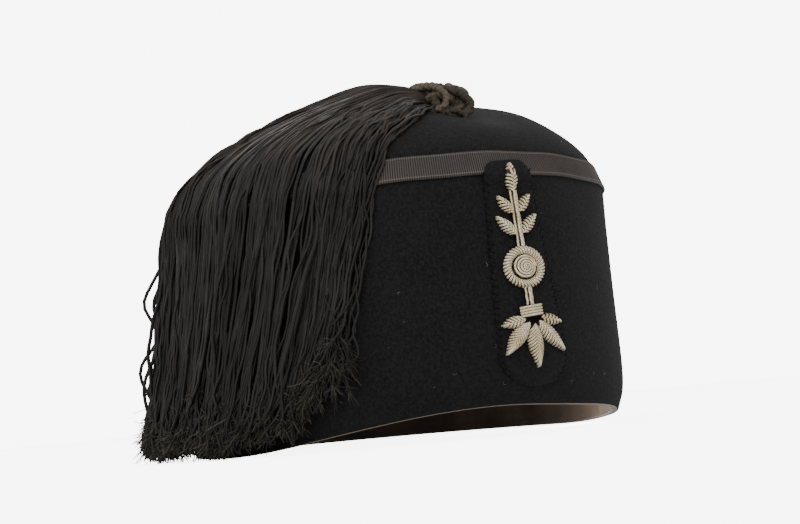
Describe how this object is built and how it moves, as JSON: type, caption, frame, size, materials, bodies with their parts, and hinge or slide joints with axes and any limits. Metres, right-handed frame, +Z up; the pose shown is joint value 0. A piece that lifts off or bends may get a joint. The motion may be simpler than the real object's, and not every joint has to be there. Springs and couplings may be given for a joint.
{
  "type": "fez hat",
  "caption": "Black felt fez, a soft domed cap without a brim, with a ribbon at the shoulder, an embroidered badge, a leather sweatband and a long side tassel.",
  "frame": {"origin": "bottom centre of the bounding box, on the surface that the hat stands on", "axes": "+Z up, the front with the badge faces -Y, the wearer's right side with the tassel is -X"},
  "size_m": [0.1764, 0.2102, 0.1339],
  "materials": {
    "felt": "black wool felt, matt with a short nap",
    "ribbon": "ribbed grosgrain ribbon, faded black-brown, slight sheen",
    "leather": "thin smooth sheepskin, worn brown-grey, satin",
    "bullion": "embroidery of coiled pale gilt wire, aged",
    "knot": "twisted cotton cord, faded brown-grey",
    "thread": "twisted black thread, faded brown over the dome"
  },
  "bodies": {
    "root": {"crown_wall": "felt", "crown_top": "felt", "badge_patch": "felt", "ribbon_band": "ribbon", "sweatband": "leather", "tassel_knot": "knot", "tassel_fringe": "thread", "badge_palmette_leaf_1": "bullion", "badge_palmette_leaf_2": "bullion", "badge_palmette_leaf_3": "bullion", "badge_palmette_leaf_4": "bullion", "badge_palmette_leaf_5": "bullion", "badge_sprig_leaf_1": "bullion", "badge_sprig_leaf_2": "bullion", "badge_sprig_leaf_3": "bullion", "badge_sprig_leaf_4": "bullion", "badge_sprig_bud": "bullion", "badge_tie": "bullion", "badge_lower_stem": "bullion", "badge_upper_stem": "bullion", "badge_ring": "bullion", "badge_boss": "bullion"}
  },
  "joints": []
}
